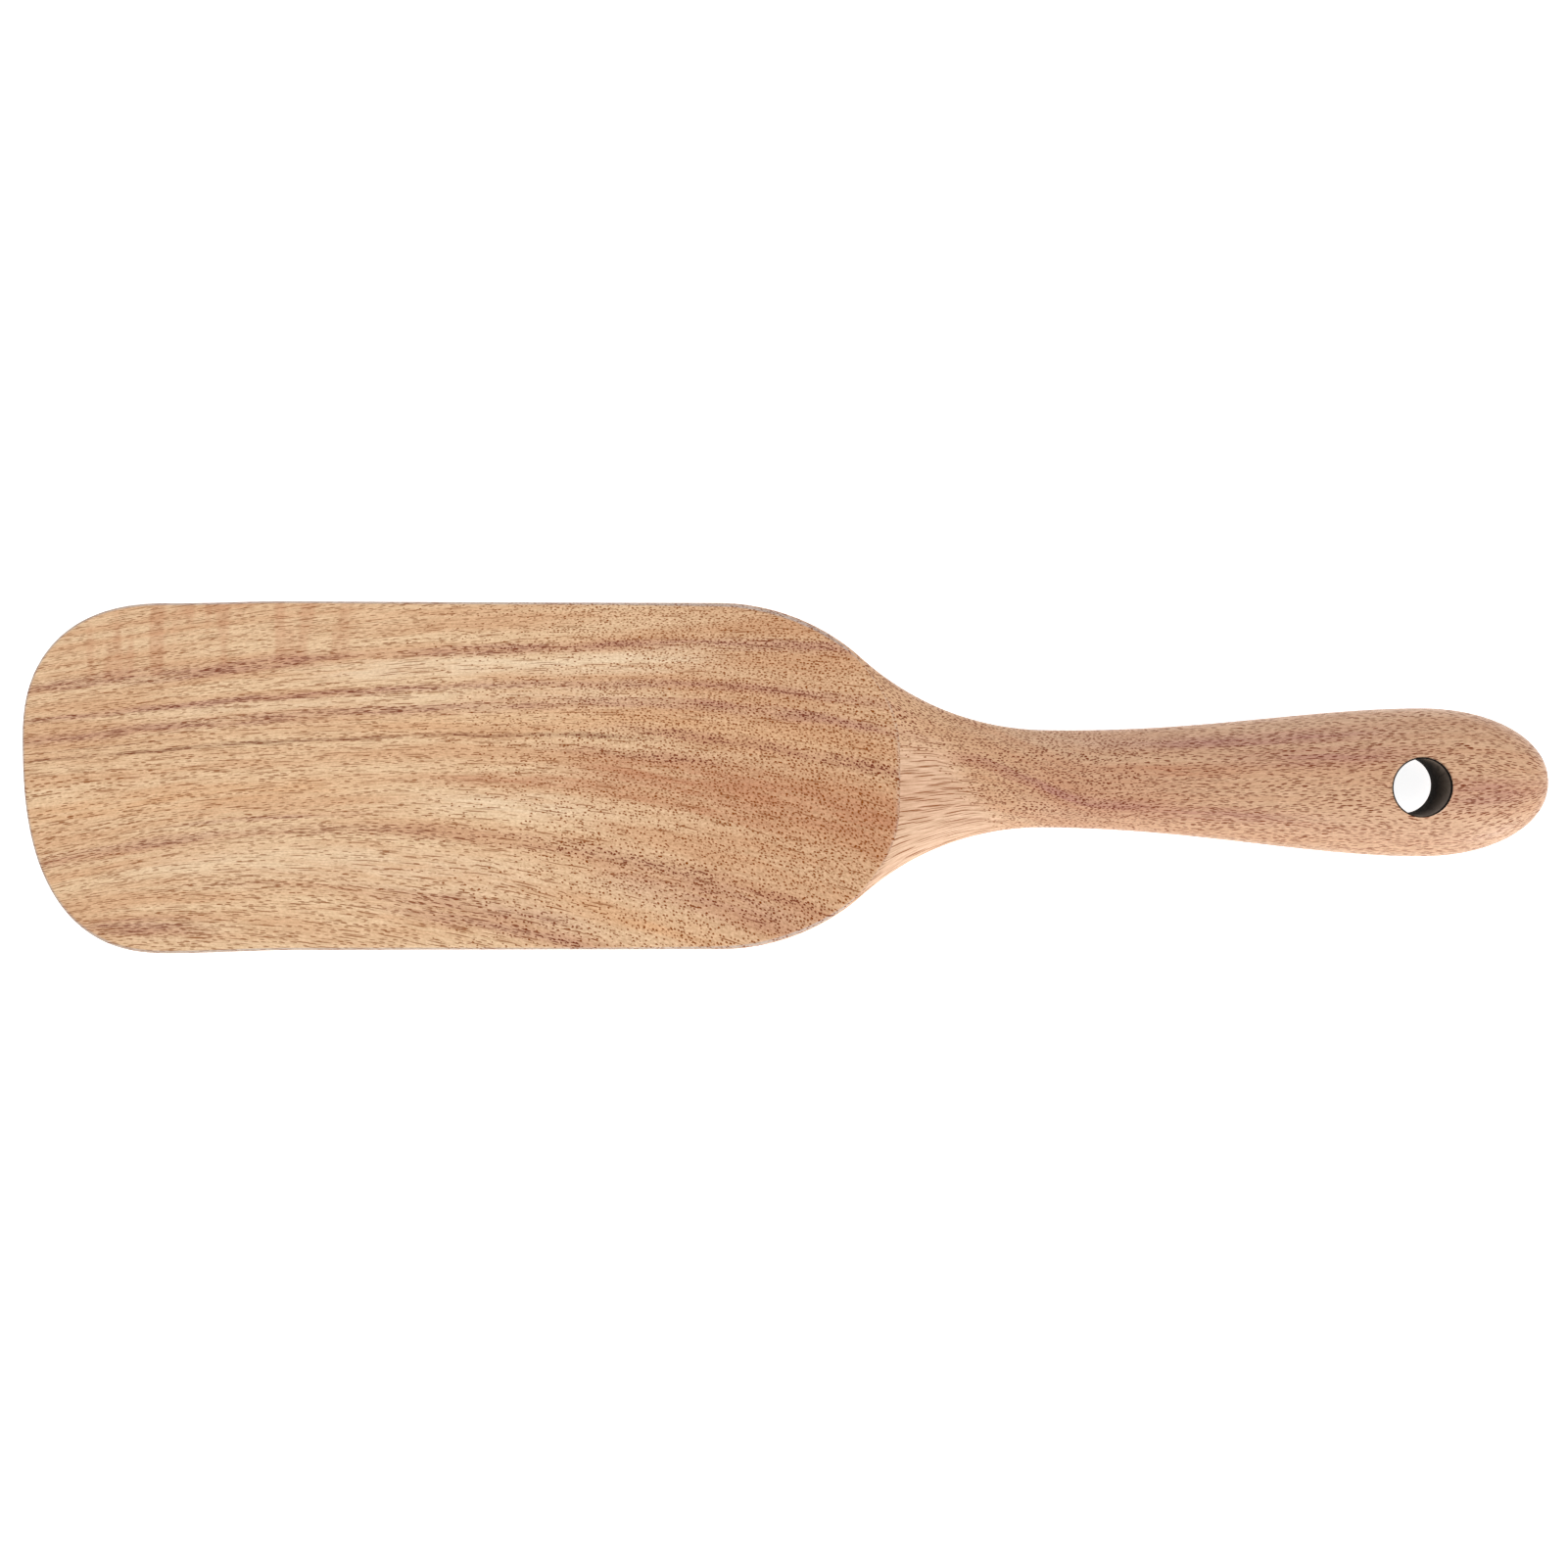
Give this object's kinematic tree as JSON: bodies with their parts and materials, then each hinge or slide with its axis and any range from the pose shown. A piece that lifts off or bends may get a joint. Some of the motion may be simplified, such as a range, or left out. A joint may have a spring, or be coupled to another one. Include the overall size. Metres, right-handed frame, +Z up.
{
  "type": "wooden spatula",
  "caption": "Hand-carved wooden kitchen spatula: broad thin blade with a rounded nose, waisted neck, and an oval handle with a hanging hole near its end.",
  "frame": {"origin": "bottom centre of the bounding box, on the surface that the spatula lies on", "axes": "+X from the blade tip to the handle butt, +Y across the blade, +Z up from the flat back of the blade"},
  "size_m": [0.325, 0.0754, 0.0179],
  "materials": {
    "wood": "bare sanded hardwood, lightly oiled, with dark pores and pale and reddish growth bands"
  },
  "bodies": {
    "root": {"spatula_body": "wood"}
  },
  "joints": []
}
